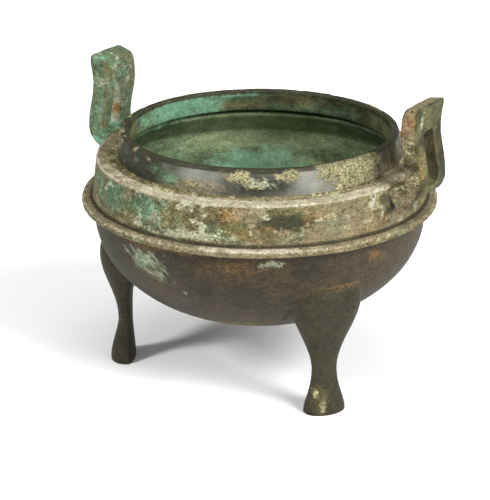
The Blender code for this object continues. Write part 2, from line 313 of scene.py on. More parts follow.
def leg(index):
    """Rows of D sections: outward reach * cos^q, inward reach * |cos|^0.5, half width * sin^q, with the
    rows closer together near the crown, and the lowest ones drawn in to round the edge of the sole."""
    azimuth = math.tau / 4 + LEG_TURN + math.tau * index / 3
    height = mix(0.0, HIP_Z + CROWN_RISE, np.sin(math.pi / 2 * np.linspace(0, 1, LEG_ROWS) ** 1.05))
    height[1] = 0.0004
    width, out, inward, square = leg_sections(height)
    easing = SOLE_ROUNDING * (1 - np.sqrt(1 - (1 - np.clip(height / 0.0010, 0, 1)) ** 2))
    turn = (np.arange(LEG_COLUMNS) + 0.5) * math.tau / LEG_COLUMNS
    cosine = np.cos(turn)
    sine = np.sin(turn)
    column = [part[:, None] for part in (width - easing, out - easing, inward - easing, square)]
    reach = np.where(cosine > 0, column[1] * np.abs(cosine) ** column[3], -column[2] * np.abs(cosine) ** 0.5)
    side = column[0] * np.sign(sine) * np.abs(sine) ** column[3]
    outward = np.array([math.cos(azimuth), math.sin(azimuth), 0.0])
    across = np.array([-math.sin(azimuth), math.cos(azimuth), 0.0])
    rings = outward * (LEG_RADIUS + reach)[..., None] + across * side[..., None]
    rings[..., 2] += height[:, None]
    return skin(f"leg_form_{index + 1}", rings)


legs = [leg(index) for index in range(3)]
print(len(legs), "legs stand a third of a turn apart")

# %% [markdown]
# The ears
#
# An ear leaves the collar as a thick arm, turns upright in an elbow, leans in at its waist and flares at
# its tip. Its centre line is a curve in the plane through the axis, and a rounded rectangle follows it.

# %% Sizes of an ear
EAR_WIDTH = 0.0340
EAR_ROWS = 84
ELBOW = (BOWL_RADIUS + 0.0109, LEDGE_Z + 0.0040)
ROOT = (LEDGE_RADIUS - WALL / 2, LEDGE_Z - 0.0078)
ROOT_CLIMB = math.radians(28)
WAIST_Z = LEDGE_Z + 0.0320
ROOT_SHARE = 0.35
ARM_BEND = 0.0080
WAIST_LEAN = 0.0039
TIP_FLARE = 0.0022
TIP_SPREAD = 0.0012
TOP_THINNING = 0.0008
EAR_EDGE = 0.0016
EAR_CORNER = 0.0045
EAR_THICKNESS = 0.0097
ARM_THICKNESS = 0.0138
EARS = {
    # side: (sign of x, shift towards +x, height of the top, slope of the top)
    "right": (1, 0.0012, EAR_TOP_Z, math.radians(8)),
    "left": (-1, 0.0010, EAR_TOP_Z - 0.0010, math.radians(17)),
}
print("an ear rises", round(EAR_TOP_Z - LEDGE_Z, 4), "m over the ledge")

# %% Ear centre line


def ear_line(share, top, slope):
    """Centre (r, z), pitch, thickness and extra half width at each share of the way up an ear. The first
    part is a cubic curve from root to elbow, and the rest rises straight with an eased lean inwards."""
    turn = np.clip(share / ROOT_SHARE, 0, 1)[:, None]
    rest = 1 - turn
    a = np.array(ROOT)
    b = a + ARM_BEND * np.array([math.cos(ROOT_CLIMB), math.sin(ROOT_CLIMB)])
    d = np.array(ELBOW)
    c = d - np.array([0, ARM_BEND])
    arm = a * rest ** 3 + 3 * b * turn * rest ** 2 + 3 * c * turn ** 2 * rest + d * turn ** 3
    heading = (b - a) * rest ** 2 + 2 * (c - b) * turn * rest + (d - c) * turn ** 2
    z = mix(ELBOW[1], top, np.clip((share - ROOT_SHARE) / (1 - ROOT_SHARE), 0, 1))
    above = np.clip((z - WAIST_Z) / (top - WAIST_Z), 0, 1)
    lean = WAIST_LEAN * ease((z - ELBOW[1]) / (WAIST_Z - ELBOW[1]))
    upright = np.stack([ELBOW[0] - lean + TIP_FLARE * above ** 2, z], -1)
    in_arm = share < ROOT_SHARE
    centre = np.where(in_arm[:, None], arm, upright)
    pitch = np.where(in_arm, np.arctan2(heading[:, 0], heading[:, 1]), -slope * above)
    thickness = np.where(in_arm, mix(ARM_THICKNESS, EAR_THICKNESS, turn[:, 0]), EAR_THICKNESS)
    return centre, pitch, thickness, np.where(in_arm, 0.0, TIP_SPREAD * above ** 2)


print("an ear starts at", ear_line(np.zeros(1), EAR_TOP_Z, 0.0)[0][0].round(4), "m, inside the wall")

# %% Ear sections


def section(half_width, half_thickness, radius, across_steps=24, deep_steps=6, arc_steps=4):
    """A rounded rectangle round (0, 0): each point is its corner's hub, or a mix of two hubs along a
    straight run, plus radius * (cos, sin) of its own angle."""
    points = []
    corners = ((1, 1), (-1, 1), (-1, -1), (1, -1))
    for index, (side, deep) in enumerate(corners):
        for step in range(arc_steps + 1):
            angle = math.pi / 2 * (index + step / arc_steps)
            points.append((side, deep, math.cos(angle), math.sin(angle)))
        side_after, deep_after = corners[(index + 1) % 4]
        runs = across_steps if side_after != side else deep_steps
        for step in range(1, runs):
            share = step / runs
            hub = (mix(side, side_after, share), mix(deep, deep_after, share))
            angle = math.pi / 2 * (index + 1)
            points.append(hub + (math.cos(angle), math.sin(angle)))
    parts = np.array(points)
    side = parts[:, 0] * (half_width - radius)[:, None] + parts[:, 2] * radius
    deep = parts[:, 1] * (half_thickness - radius)[:, None] + parts[:, 3] * radius
    return side, deep


print("a section of an ear has", section(np.ones(1), np.ones(1), 0.1)[0].size, "points")

# %% One ear


def ear(side_name):
    """Rounded rectangles set square on the ear's line. The last rows draw in to round the top corners."""
    sign, shift, top, slope = EARS[side_name]
    corner_share = EAR_CORNER / (EAR_TOP_Z - LEDGE_Z)
    swing = np.linspace(0, math.pi / 2, 9)[1:]
    low_rows = np.linspace(0, 1 - corner_share, EAR_ROWS)
    share = np.concatenate([low_rows, 1 - corner_share * (1 - np.sin(swing))])
    narrowing = np.concatenate([np.zeros(EAR_ROWS), EAR_CORNER * (1 - np.cos(swing))])
    thinning = np.concatenate([np.zeros(EAR_ROWS), TOP_THINNING * (1 - np.cos(swing)) ** 3])
    centre, pitch, thickness, spread = ear_line(share, top, slope)
    side, deep = section(EAR_WIDTH / 2 + spread - narrowing, thickness / 2 - thinning, EAR_EDGE)
    rings = np.empty(side.shape + (3,))
    rings[..., 0] = sign * (centre[:, :1] - np.cos(pitch)[:, None] * deep) + shift
    rings[..., 1] = sign * side
    rings[..., 2] = centre[:, 1:] + np.sin(pitch)[:, None] * deep
    return skin("ear_form_" + side_name, rings)


ears = [ear(side_name) for side_name in EARS]
print(len(ears), "ears")

# %% Ear slots
SLOT_HALF_WIDTH = 0.0060
SLOT_LOW = LEDGE_Z + 0.0004
SLOT_HIGH = SLOT_LOW + 0.0320
SLOT_STARTS, SLOT_ENDS, SLOT_ROWS = BOWL_RADIUS + 0.0009, BOWL_RADIUS + 0.0220, 15


def slot(side_name):
    """The upright hole: an outline with rounded corners, carried straight out through the ear."""
    sign, shift = EARS[side_name][:2]
    outline = rounded([
        (0, SLOT_LOW, 0),
        (SLOT_HALF_WIDTH, SLOT_LOW, 0.0030),
        (SLOT_HALF_WIDTH, SLOT_HIGH, 0.0032),
        (-SLOT_HALF_WIDTH, SLOT_HIGH, 0.0032),
        (-SLOT_HALF_WIDTH, SLOT_LOW, 0.0030),
        (0, SLOT_LOW, 0),
    ], 5, 0.0016)[:-1]
    depth = np.linspace(SLOT_STARTS, SLOT_ENDS, SLOT_ROWS)
    rings = np.empty((len(depth), len(outline), 3))
    rings[..., 0] = sign * depth[:, None] + shift
    rings[..., 1] = outline[:, 0]
    rings[..., 2] = outline[:, 1]
    return skin("slot_form_" + side_name, rings)


slots = [slot(side_name) for side_name in EARS]
print("a slot is", 2 * SLOT_HALF_WIDTH, "m wide and", round(SLOT_HIGH - SLOT_LOW, 4), "m high")

# %% [markdown]
# One casting
#
# Bronze was poured once, so the skin has to be one closed surface. Boolean modifiers join and cut the
# forms, and the finished mesh is then taken from the modifiers and the helpers are deleted.

# %% Join and hollow out


def combine(body, other, operation):
    """Adds a Boolean modifier that joins or cuts with another closed form."""
    step = body.modifiers.new(other.name, "BOOLEAN")
    step.operation = operation
    step.object = other
    step.solver = "MANIFOLD"


for form in legs + ears:
    combine(casting, form, "UNION")
for form in slots + [hollow]:
    combine(casting, form, "DIFFERENCE")
depsgraph = bpy.context.evaluated_depsgraph_get()
joined = bpy.data.meshes.new_from_object(casting.evaluated_get(depsgraph))
casting.modifiers.clear()
casting.data = joined
for form in legs + ears + slots + [hollow]:
    bpy.data.objects.remove(form, do_unlink=True)
joined.calc_loop_triangles()
print("the casting has", len(joined.vertices), "points and", len(joined.loop_triangles), "triangles")

# %% [markdown]
# Noise made with arrays
#
# Old bronze is never even. A lattice noise gives every corner of a cubic grid a random number that only
# depends on its place and a seed, and blends the eight corners round each point. Sums of finer and finer
# layers give lumps, pits and ragged edges.

# %% Lattice noise
HASH_AXES = np.array([73856093, 19349663, 83492791])
HASH_SEED, HASH_ONE, HASH_TWO = 9973, 1274126177, 668265263


def lattice_noise(points, cell, seed):
    """Numbers from -1 to 1: each lattice corner is hashed, and the eight round a point are blended with
    smooth steps of its place inside its cell."""
    place = points / cell
    base = np.floor(place).astype(np.int64)
    part = place - base
    part = part * part * (3 - 2 * part)
    total = np.zeros(len(points))
    for corner in range(8):
        offset = np.array([corner & 1, corner >> 1 & 1, corner >> 2 & 1])
        key = (base + offset) @ HASH_AXES + seed * HASH_SEED
        key = (key ^ (key >> 13)) * HASH_ONE & 0x7FFFFFFF
        key = (key ^ (key >> 11)) * HASH_TWO & 0x7FFFFFFF
        value = (key >> 8 & 0xFFFF) / 32767.5 - 1
        total += value * np.prod(np.where(offset, part, 1 - part), axis=1)
    return total


def rough_noise(points, cell, seed, layers=4):
    """Layers of lattice noise, each half as large and a little over half as strong as the one before."""
    weights = 0.55 ** np.arange(layers)
    parts = [lattice_noise(points, cell / 2 ** k, seed + k) * weights[k] for k in range(layers)]
    return sum(parts) / weights.sum()


print("the noise at one place is", round(float(rough_noise(np.full((1, 3), 0.02), 0.011, 201)[0]), 3))

# %% [markdown]
# Where the patina lies
#
# A finish is painted where a field is above zero. To set fields, the casting is first divided into zones:
# the hollow, the bowl, the flange, the collar, the ledge, the neck, the legs and the ears. Azimuth is
# counted in degrees to the right of the side that faces the viewer.

# %% Places on the casting
VIEW_AZIMUTH = math.radians(-58.6)


def read(collection, key, columns, kind=float):
    """A property of every item of a mesh collection, as one array with a row for each item."""
    values = np.empty(len(collection) * columns, dtype=kind)
    collection.foreach_get(key, values)
    return values.reshape(-1, columns)


points = read(joined.vertices, "co", 3)
normals = read(joined.vertex_normals, "vector", 3)
x, y, z = points.T
radius = np.hypot(x, y)
azimuth = np.degrees((np.arctan2(y, x) - VIEW_AZIMUTH + math.pi) % math.tau - math.pi)
print("radius up to", round(float(radius.max()), 4), "m")

# %% Inside or outside


def wall_radius(height, half_thickness):
    """The radius half way through the wall: the bowl's ellipse, the collar's cone, the sloping shoulder
    inside the ledge, then neck and lip."""
    drop = np.clip((BELLY_Z - height) / (BELLY_Z - UNDERSIDE_Z - half_thickness), 0, 1)
    bowl = (BOWL_RADIUS - half_thickness) * np.sqrt(1 - drop ** 2)
    throat = NECK_RADIUS - half_thickness
    upper = np.interp(height, [BELLY_Z, FLANGE_TOP_Z, SHOULDER_Z, THROAT_Z, RIM_Z - LIP_DEPTH, RIM_Z], [
        BOWL_RADIUS - half_thickness, COLLAR_FOOT_RADIUS - half_thickness, throat + THROAT_Z - SHOULDER_Z,
        throat, throat, (LIP_RADIUS + MOUTH_RADIUS) / 2])
    return np.where(height < BELLY_Z, bowl, upper)


inside = (radius < wall_radius(z, WALL / 2)) & (z > UNDERSIDE_Z + WALL / 2)
print("inside the hollow:", int(inside.sum()), "points")

# %% Zones of the outside
UNDER_FLANGE_RADIUS = 0.1012
NECK_FOOT_RADIUS = 0.0872
bowl_outside = np.interp(z, [
    BELLY_Z, FLANGE_Z - 0.0002, FLANGE_Z, FLANGE_TOP_Z, FLANGE_TOP_Z + 0.0002, LEDGE_Z,
    LEDGE_Z + 0.0005, RIM_Z,
], [
    BOWL_RADIUS, UNDER_FLANGE_RADIUS, FLANGE_RADIUS, FLANGE_RADIUS, COLLAR_FOOT_RADIUS, LEDGE_RADIUS,
    NECK_FOOT_RADIUS, LIP_RADIUS,
])
# The margins under a millimetre keep a zone clear of the rounded edges of its neighbours.
on_ear = (radius > bowl_outside + 0.0006) & (z > FLANGE_TOP_Z + 0.0010)
on_leg = (z < BELLY_Z - 0.018) & ~inside & (radius - LEG_RADIUS > bowl_reach(z) + 0.0003)
on_leg |= z < UNDERSIDE_Z - 0.001
on_bowl = (z < FLANGE_Z - 0.0005) & ~on_leg & ~inside
on_flange = (z >= FLANGE_Z - 0.0005) & (z < FLANGE_TOP_Z + 0.0004) & (radius > COLLAR_FOOT_RADIUS + 0.0004)
on_neck = (z > LEDGE_Z + 0.0008) & ~inside & ~on_ear
on_ledge = (np.abs(z - LEDGE_Z) < 0.0012) & ~inside & ~on_ear & (radius < LEDGE_RADIUS + 0.0006)
on_collar = (z > FLANGE_TOP_Z + 0.0003) & (z < LEDGE_Z - 0.0006) & ~inside & ~on_ear
for title, where in (("ears", on_ear), ("legs", on_leg), ("bowl", on_bowl), ("flange", on_flange),
                     ("neck", on_neck), ("ledge", on_ledge), ("collar", on_collar)):
    print(title, int(where.sum()), "points")

# %% [markdown]
# Soft joints and the bend of the surface
#
# Hips and arms grow softly out of the vessel, so the points around those joints are pulled towards the
# average of their neighbours a few times. The bend says how sharply the surface turns at a point: above
# zero on an edge and below zero in a crease. Upward edges of ledge and flange are painted pale, partly as
# wear and partly as painted highlight, and creases of collar and flange are painted dark as painted shade.

# %% Neighbours
edges = read(joined.edges, "vertices", 2, np.int64)
first, second = edges.T
neighbours = np.bincount(edges.ravel(), minlength=len(points)).astype(float)


def neighbour_sum(values):
    """For each point, the sum of the values of the points that share an edge with it."""
    return np.bincount(first, values[second], len(points)) + np.bincount(second, values[first], len(points))


def softened(share, times):
    """Moves each point by a share of the way to its neighbours' average, again and again."""
    for _ in range(times):
        average = np.stack([neighbour_sum(points[:, axis]) / neighbours for axis in range(3)], -1)
        points[:] = points + (average - points) * share[:, None]


print("a point has", round(float(neighbours.mean()), 2), "neighbours on average")

# %% Soften hips and arms
JOINT_REACH = 0.0035
JOINT_ROUNDS = 14
proud = radius - LEG_RADIUS - bowl_reach(z)
near_joint = (z > 0.044) & (z < BELLY_Z - 0.010) & ~inside & (np.abs(proud) < 0.0040)
turn_from_leg = (np.arctan2(y, x) - math.tau / 4 - LEG_TURN + math.tau / 6) % (math.tau / 3) - math.tau / 6
near_joint &= np.abs(turn_from_leg) * radius < HIP_HALF_WIDTH + JOINT_REACH
near_root = (np.abs(y) < EAR_WIDTH / 2 + JOINT_REACH) & (np.abs(radius - bowl_outside) < JOINT_REACH)
near_root &= ~inside & (z > FLANGE_TOP_Z + JOINT_REACH) & (z < LEDGE_Z + JOINT_REACH)
near_joint |= near_root
softened(np.where(near_joint, 0.5, 0.0), JOINT_ROUNDS)
joined.vertices.foreach_set("co", points.ravel())
joined.update()
normals = read(joined.vertex_normals, "vector", 3)
print("softened", int(near_joint.sum()), "points at hips and arms")

# %% Bend of the surface
BEND_SCALE = 0.0011


def bend_of_surface():
    """The mean over a point's edges of (turn of the normal) . (edge) / (length of the edge)^2, smoothed
    once over its neighbours and multiplied by the size of the edges that matter here."""
    step = points[second] - points[first]
    turned = normals[second] - normals[first]
    bend = np.einsum("ni,ni->n", turned, step) / np.maximum(np.einsum("ni,ni->n", step, step), 1e-12)
    total = np.bincount(first, bend, len(points)) + np.bincount(second, bend, len(points))
    bend = total / neighbours
    return np.clip((bend + neighbour_sum(bend) / neighbours) / 2 * BEND_SCALE, -1, 1)


bend = bend_of_surface()
print("bend from", round(float(bend.min()), 2), "to", round(float(bend.max()), 2))

# %% [markdown]
# Spots and drifts
#
# Each named spot is an oval on the vessel, given by its azimuth, its height and its half sizes: the field
# is 1 in its middle, 0 on its edge and negative beyond. Noise bends the oval, and a level makes the whole
# spot stronger or fainter. A drift is a wide noise that comes and goes. The drifts carry the same finishes
# round to the sides that the viewer does not see. Each finish takes the highest of its spots and drifts.

# %% Spots and drifts
SPOT_WARP = 0.75
warp_along = SPOT_WARP * rough_noise(points, 0.011, 201)
warp_up = SPOT_WARP * rough_noise(points, 0.009, 202)


def spot(at, height, half_width, half_height, where, level=0.0):
    """1 - distance from the middle of an oval, with the distance counted in half sizes and bent by noise,
    plus a level, on one zone. at is in degrees to the viewer's right; height and half sizes are in
    millimetres."""
    along = np.radians((azimuth - at + 180) % 360 - 180) * radius * 1000 / half_width
    distance = np.hypot(along + warp_along, (z * 1000 - height) / half_height + warp_up)
    return np.where(where, np.maximum(1 - distance + level, -1), -1.0)


def most(*fields):
    """The highest of several fields at each point."""
    return np.max(np.stack(np.broadcast_arrays(*fields)), axis=0)


def drifting(where, cell, seed, level, strength=2.0):
    """A finish that comes and goes: rough noise, raised by level and kept to one zone."""
    return np.where(where, np.clip(rough_noise(points, cell, seed) * strength + level, -1, 1), -1.0)


def only(where, field):
    """A field kept to one zone: -1 elsewhere."""
    return np.where(where, field, -1.0)


def spots(where, *ovals):
    """The highest of several spots on one zone; each oval is (at, height, half width, half height) and
    may end with a level."""
    return most(*(spot(*oval[:4], where, *oval[4:]) for oval in ovals))


fields = {}


def tell(*titles):
    """Prints how many of the points each field covers."""
    for title in titles:
        print(title, "covers", round(100 * float((fields[title] > 0).mean()), 1), "% of the points")


# %% Smaller zones
nx, ny, nz = normals.T
behind = np.abs(azimuth) > 62
leftward = -np.sin(np.radians(azimuth))
upward = np.clip(nz, 0, 1)
right_ear = on_ear & (x > 0)
left_ear = on_ear & (x < 0)
right_ear_side = right_ear & (ny < -0.5)
right_ear_back = right_ear & (nx > 0.5)
left_ear_face = left_ear & (nx > 0.5)
shoulder = inside & (z > SHOULDER_Z - 0.024) & (z < THROAT_Z + 0.003)
slot_wall = left_ear & (np.abs(y) < SLOT_HALF_WIDTH + 0.0004) & (ny < -0.4) & (z > SLOT_LOW)
right_slot_wall = right_ear & (np.abs(y) < SLOT_HALF_WIDTH + 0.0004) & (np.abs(ny) > 0.4)
lip_top = (np.abs(radius - (LIP_RADIUS + MOUTH_RADIUS) / 2) < 0.0034) & (z > RIM_Z - 0.0018)
print("on top of the lip:", int(lip_top.sum()), "points")

# %% [markdown]
# Ground colours
#
# Burial earth stains the collar, the flange and the ears a warm brown. The hollow and parts of the collar
# carry a thin olive film instead, and the bowl, which was kept over the fire, has a redder brown.

# %% Earth, olive and umber
fields["earth"] = most(
    only(on_collar | on_flange | on_ledge, 0.9),
    only(on_ear, 0.8),
    drifting(on_neck & behind, 0.022, 11, -0.20),
    spot(64, 146, 16, 16, on_neck, 0.3),
    only(on_bowl, bump_of(z - UNDERSIDE_Z, 0.010) * 0.5 - 0.70),
    drifting(on_bowl & behind, 0.022, 12, -0.75),
    drifting(on_leg, 0.012, 13, -1.30),
    spots(on_leg, (23, 9, 4, 7, 0.15), (-52, 76, 4, 8, -0.35)),
    spot(25, 82.5, 22, 1.4, on_leg | on_bowl, -0.50),
    spot(-8, 50, 46, 9, on_bowl, -0.50),
)
fields["olive"] = most(
    only(inside, 0.9),
    spots(on_collar, (-50, 124, 44, 16, -0.25), (-2, 126, 26, 12, -0.30)),
    drifting(on_collar, 0.018, 14, -0.35),
    drifting(left_ear, 0.014, 15, -0.20),
    only(right_ear_back, 0.5),
    drifting(on_flange, 0.018, 16, -0.50),
    spot(-40, 92, 14, 11, on_bowl, -0.40),
    spot(23, 10, 3, 5, on_leg, -0.3),
)
fields["umber"] = most(
    drifting(on_bowl, 0.020, 101, -0.10),
    spots(on_bowl, (-8, 98, 26, 8, -0.05), (40, 96, 26, 12, 0.0)),
    spot(26, 84, 24, 5, on_bowl | on_leg, 0.2),
    drifting(on_leg, 0.014, 102, -0.35),
)
tell("earth", "olive", "umber")

# %% [markdown]
# Smooth skin
#
# The neck kept its smooth grey skin. A paler grey is painted on it in two places as a painted highlight
# of the lamps. Black copper oxide lies on the lip, in patches on neck and collar, and all over the legs.
# Black is also painted under the flange as painted shade, and inside the mouth as the painted shadow
# under the lip.

# %% Satin, painted highlight and black
fields["satin"] = only(on_neck, 0.4) - most(spot(66, 146, 14, 20, on_neck), 0.0) * 2
# Painted highlight: a pale grey painted on the neck in two spots where the two lamps are reflected.
fields["painted_highlight"] = spots(on_neck, (-26, 147, 18, 9, -0.25), (21, 145, 17, 10, 0.05))
# Painted shade: black painted in the corner under the flange, where shade falls.
under_flange_shade = bump_of(z - FLANGE_Z + 0.0004, 0.0014) * bump_of(radius - BOWL_RADIUS, 0.0040)
fields["black"] = most(
    spots(on_neck, (-62, 146, 26, 13, 0.35), (-2, 143, 17, 6.0, -0.05), (8, 143.5, 9, 4.4)),
    spots(on_collar, (8, 126, 14, 5.5, 0.15), (60, 122, 12, 7, -0.15), (50, 124, 14, 8, -0.15),
          (17, 125.5, 6, 4), (57, 130, 9, 7, 0.1), (44, 121, 8, 4, -0.3), (-14, 126, 9, 3.5, -0.15)),
    spots(right_ear_side, (53, 134, 7, 6, 0.1), (52, 141, 5, 4, -0.1)),
    spots(inside, (150, 147, 60, 9, -0.20), (135, 142, 40, 12, -0.10), (178, 146, 34, 8, 0.20),
          (-160, 143, 22, 4, -0.25), (-170, 146, 30, 8, 0.25)),
    only(lip_top, 1.2),
    # Painted shadow: a dark ring inside the mouth just under the lip, where the lip's overhang casts shadow.
    only(inside, bump_of(z - (RIM_Z - LIP_DEPTH - 0.0028), 0.0046) * 1.6 - 0.7),
    only(~on_ear, under_flange_shade * 1.7 - 0.8),
    drifting(inside, 0.024, 32, -0.95) - 0.20 * leftward,
    drifting(on_neck & behind, 0.030, 33, 0.10),
    drifting(on_collar, 0.012, 34, -0.60),
    drifting(left_ear, 0.010, 35, -0.60),
    only(left_ear & (nz > 0.6) & (z > EAR_TOP_Z - 0.008), 0.0),
    drifting(right_ear_back, 0.012, 37, 0.05),
    drifting(on_flange, 0.008, 36, -0.55),
    only(on_leg, 0.0),
    spot(-64, 88, 26, 32, on_bowl, -0.1),
)
tell("satin", "painted_highlight", "black")

# %% [markdown]
# Greens
#
# Copper salts give three greens: a dull green on the left ear and the left of the collar, a mossy one in
# the far side of the hollow, and a bright mint in the mouth and in specks. The moss is painted paler on the
# shaded shoulder under the mouth, as painted light that lifts the shade there.

# %% Verdigris, moss with painted light, and mint
fields["verdigris"] = most(
    spots(inside, (-150, 115, 44, 24, -0.30), (-142, 147, 40, 11, 0.15), (165, 143, 60, 8, -0.50),
          (-172, 92, 90, 50, -0.50)),
    only(shoulder, 0.15),
    spots(on_collar, (-64, 127, 26, 14, -0.05), (-38, 129, 20, 10, -0.30)),
    spots(on_neck, (-37, 142.4, 9, 3.8, 0.1), (-46, 144.5, 6, 3.0, -0.35), (-58, 146, 2.2, 1.8)),
    spot(-41, 96, 15, 7, on_bowl, -0.45),
    only(left_ear, 0.35),
    drifting(on_collar, 0.014, 21, -0.55),
    drifting(inside, 0.030, 22, -0.60),
    drifting(right_ear & ~right_ear_back, 0.012, 23, -0.75),
    spot(54, 143, 1.2, 8, on_ear),
    drifting(on_flange, 0.018, 24, -0.65),
)
# Painted light: the shoulder inside the mouth faces down into shade, and the moss there is painted pale,
# most of all on the far side.
far_shoulder_painted_light = 1.35 * bump_of(180 - np.abs(azimuth), 46) - 0.2
fields["moss_and_painted_light"] = most(
    only(shoulder, ease((z - SHOULDER_Z + 0.024) / 0.020) * far_shoulder_painted_light - 0.7),
    drifting(inside & (z < SHOULDER_Z), 0.034, 29, -0.80),
    spot(178, 100, 60, 20, inside, -0.68),
)
fields["mint"] = most(
    spots(inside, (-137, 147, 28, 8, -0.05), (-172, 150.5, 13, 2.6, -0.1), (-176, 97, 30, 13, -0.15),
          (-160, 84, 20, 16, -0.25)),
    spot(-37, 142.4, 7, 2.8, on_neck, -0.3),
    drifting(on_collar & (azimuth < -20), 0.008, 27, -0.80),
    drifting(left_ear, 0.010, 28, -0.45),
    spot(-122, 139, 7, 3.4, on_ear),
    only(left_ear & (ny < -0.5) & ~slot_wall, -0.35),
)
tell("verdigris", "moss_and_painted_light", "mint")

# %% [markdown]
# Stains
#
# Iron in the earth left rust-coloured stains under the flange, on the collar and along the ears. The
# strongest are orange: on the tip of the right ear, and one small spot on the wall of the left ear's slot.

# %% Rust and orange
fields["rust"] = most(
    spots(on_collar, (-9, 130, 11, 7.0, -0.05), (-5, 119, 9, 4, -0.3), (24, 129, 14, 3.5, -0.35),
          (7, 122, 16, 4.0, -0.45)),
    spots(on_bowl, (-6, 99.5, 20, 5.0, -0.50), (42, 97, 12, 8.0, -0.75), (-40, 105.4, 26, 2.0, -0.1)),
    spot(30, 82, 14, 2.5, on_bowl | on_leg, -0.65),
    spots(inside, (165, 146, 30, 5, -0.45), (-168, 143, 22, 4, -0.55)),
    spot(53, 148, 2.0, 14, on_ear),
    spot(-118, 172, 5, 3.5, left_ear_face, -0.2),
    only(left_ear_face & (y < -0.0105), 0.15),
    only(left_ear_face & (y > 0.0085) & (z > 0.158), 0.0),
    drifting(on_collar & (azimuth > 14), 0.010, 55, -0.40),
    spot(-50, 76, 3, 5, on_leg, -0.2),
    drifting(on_collar, 0.014, 51, -0.62),
    drifting(on_bowl & behind, 0.022, 52, -0.80),
    drifting(on_ear, 0.010, 54, -0.80),
)
stain_z = SLOT_LOW + 0.0085
stain_x = x[slot_wall & (np.abs(z - stain_z) < 0.003)].mean()
slot_stain = bump_of(z - stain_z, 0.0070) * bump_of(x - stain_x, 0.0050)
fields["orange"] = most(
    spot(50, 178.7, 6, 7.0, right_ear_side, 0.6),
    spots(on_collar, (-10, 131, 9, 4.5, -0.40), (22, 128, 10, 2.5, -0.75)),
    only(slot_wall, slot_stain * 1.65 - 0.9),
    spot(52, 145, 1.6, 9, right_ear, -0.4),
)
tell("rust", "orange")

# %% [markdown]
# Dust, crust and cream
#
# Pale dust lies on whatever faces up: the ledge, the flange and the foot of the collar. Sandy crust stands
# proud on the neck beside the right ear and in smaller patches. Cream specks are sprinkled over all of it.

# %% Dust, crust and cream
ledge_dust_starts = 0.0864 + 0.0050 * np.clip(leftward, 0, 1)
fields["dust"] = most(
    spot(-27, 140.5, 16, 3.6, on_neck, 0.1),
    only(on_ledge, np.clip((radius - ledge_dust_starts) / 0.0016, -0.45, 0.9)),
    only(on_flange, 0.7 * upward + 0.5 * bump_of(azimuth, 28) - 0.15),
    only(on_collar, bump_of(z - LEDGE_Z, 0.0026) * 1.6 - 0.95),
    only(on_collar, bump_of(z - FLANGE_TOP_Z, 0.0050) * 1.3 - 0.9),
    spots(on_collar, (26, 118, 30, 10, -0.15), (34, 127, 22, 9, -0.4)),
    spot(60, 139, 14, 4, on_neck | on_ledge, 0.1),
    drifting(on_collar & (azimuth > -10), 0.012, 61, -0.30),
    drifting(on_collar, 0.010, 65, -0.60),
    drifting(right_ear_side, 0.008, 62, 0.10),
    drifting(right_ear & ~right_ear_back, 0.008, 63, -0.50),
    only(right_ear & (nz > 0.6) & (z > 0.175), 0.2),
)
fields["crust"] = most(
    spots(on_neck, (-8, 148, 9, 3.8, -0.15), (-3, 145, 14, 5.5, -0.55), (11, 148.5, 7, 3.4, -0.1),
          (40, 146.5, 17, 10, 0.3), (48, 146, 10, 10, 0.2), (-27, 141.5, 10, 2.2, -0.3),
          (-49, 150, 2.2, 1.4), (-60, 152, 2.2, 1.4)),
    drifting(on_ledge & (radius < 0.0935), 0.010, 74, -0.40),
    spots(on_leg, (24, 7, 2.6, 4, -0.1), (22, 12, 1.6, 4, -0.3)),
    spot(43, 130, 9, 5.5, on_collar),
    spot(51, 141, 4, 5, right_ear_side, -0.35),
    drifting(on_neck & behind, 0.020, 71, -0.55),
    drifting(right_ear_side, 0.010, 72, -0.75),
    drifting(on_collar, 0.008, 73, -1.0),
)
fields["cream"] = most(
    only(on_ledge & (radius > 0.0880), -0.32 - 0.4 * ease((np.abs(azimuth) - 40) / 20)),
    spots(on_bowl, (4, 101, 9, 1.7, -0.35), (-27, 77.3, 1.6, 1.0)),
    only(slot_wall, 1.4 - 2.2 * slot_stain),
    spots(on_collar, (-22, 116.5, 26, 3.0, -0.15), (40, 132, 2.5, 5.0, -0.2)),
    spot(-172, 150.5, 8, 1.8, inside, -0.2),
    spot(54, 176, 1.4, 4.0, right_ear_back, 0.1),
    drifting(on_collar, 0.007, 81, -0.80),
    drifting(left_ear, 0.008, 83, -0.85),
    drifting(right_ear_side & (z > 0.152), 0.008, 84, -0.95),
)
tell("dust", "crust", "cream")

# %% [markdown]
# Scratches, dirt, shade and wear
#
# Scratches run in bundles over the bowl. Dirt lies on the lip, on the ears and in small spots. Painted
# shade darkens the creases, the foot of the collar, the recess and the neck beside the right ear, and the
# right ear's slot. Edges that face up on the ledge and the flange are painted pale, partly as wear from
# hands and the ground and partly as painted highlight.

